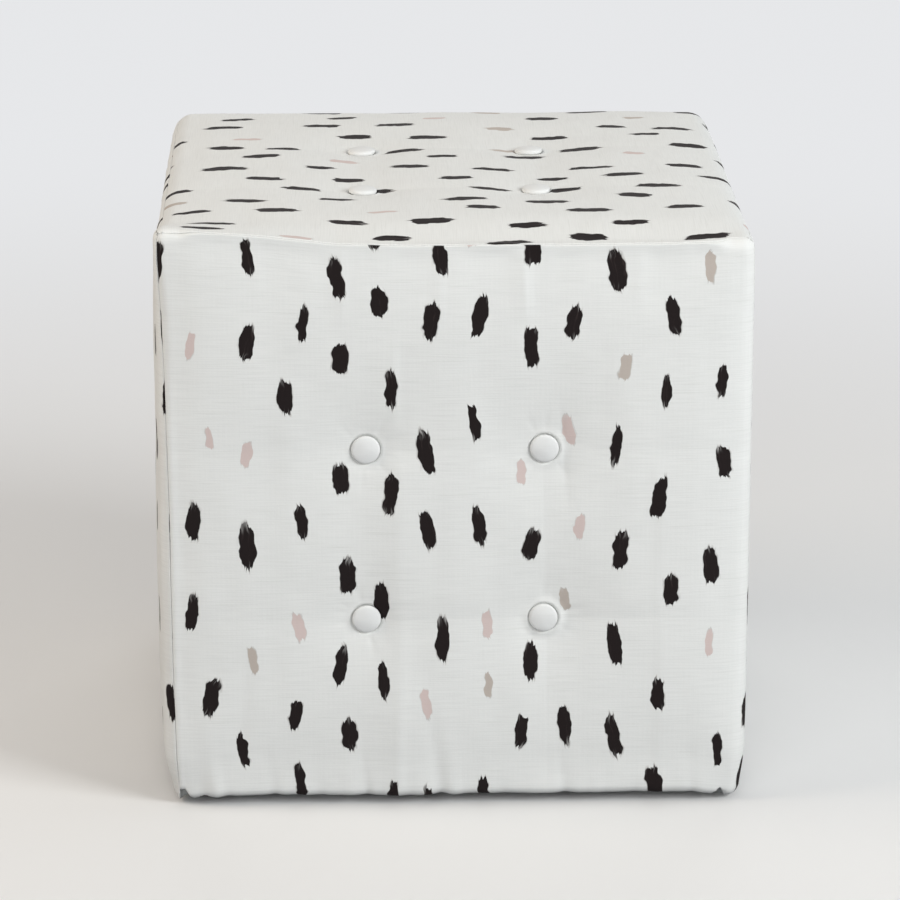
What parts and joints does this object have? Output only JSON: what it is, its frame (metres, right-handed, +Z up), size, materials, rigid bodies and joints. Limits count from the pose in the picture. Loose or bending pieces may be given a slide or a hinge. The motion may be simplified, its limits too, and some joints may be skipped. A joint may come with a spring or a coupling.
{
  "type": "cube ottoman",
  "caption": "Upholstered cube ottoman: a boarded pine frame in foam and wadding under a tufted, printed linen cover, standing on low glides.",
  "frame": {"origin": "on the floor, under the middle of the ottoman, in the plane of the glides' feet", "axes": "+Z up; -Y is the front face of the picture; +X is to the right as the front is seen"},
  "size_m": [0.461, 0.461, 0.4614],
  "materials": {
    "cover_linen": "woven linen with fine slubs, printed with scattered dark, blush and taupe brush dabs",
    "button_linen": "plain woven linen, matte",
    "pine": "planed softwood, bare",
    "plywood": "sanded birch plywood, bare",
    "hardboard": "brown pressed fibreboard, smooth side out",
    "foam": "open-cell polyurethane foam, matte",
    "wadding": "white polyester wadding, fluffy",
    "twine": "waxed tufting twine",
    "zinc_screws": "yellow zinc plated",
    "bright_steel": "bright wire and plate",
    "white_nylon": "moulded nylon, satin",
    "brown_nylon": "moulded nylon, satin",
    "black_nonwoven": "spun-bonded cloth with a fine embossed grid"
  },
  "bodies": {
    "root": {"corner_post_front_left": "pine", "corner_post_front_right": "pine", "corner_post_back_right": "pine", "corner_post_back_left": "pine", "top_rail_front": "pine", "base_rail_front": "pine", "side_board_front": "hardboard", "side_foam_front": "foam", "side_batting_front": "wadding", "cover_front": "cover_linen", "top_rail_right": "pine", "base_rail_right": "pine", "side_board_right": "hardboard", "side_foam_right": "foam", "side_batting_right": "wadding", "cover_right": "cover_linen", "top_rail_back": "pine", "base_rail_back": "pine", "side_board_back": "hardboard", "side_foam_back": "foam", "side_batting_back": "wadding", "cover_back": "cover_linen", "top_rail_left": "pine", "base_rail_left": "pine", "side_board_left": "hardboard", "side_foam_left": "foam", "side_batting_left": "wadding", "cover_left": "cover_linen", "deck_brace": "pine", "top_deck": "plywood", "frame_screws": "zinc_screws", "deck_screws": "zinc_screws", "board_nails": "bright_steel", "base_staples": "bright_steel", "glide_nails": "bright_steel", "top_foam": "foam", "top_batting": "wadding", "cover_top": "cover_linen", "button_caps_top": "button_linen", "button_backs_top": "bright_steel", "tufting_twine_top": "twine", "twine_washers_top": "white_nylon", "button_caps_front": "button_linen", "button_backs_front": "bright_steel", "tufting_twine_front": "twine", "twine_washers_front": "white_nylon", "button_caps_right": "button_linen", "button_backs_right": "bright_steel", "tufting_twine_right": "twine", "twine_washers_right": "white_nylon", "button_caps_back": "button_linen", "button_backs_back": "bright_steel", "tufting_twine_back": "twine", "twine_washers_back": "white_nylon", "button_caps_left": "button_linen", "button_backs_left": "bright_steel", "tufting_twine_left": "twine", "twine_washers_left": "white_nylon", "dust_cover": "black_nonwoven", "glides": "brown_nylon"}
  },
  "joints": []
}
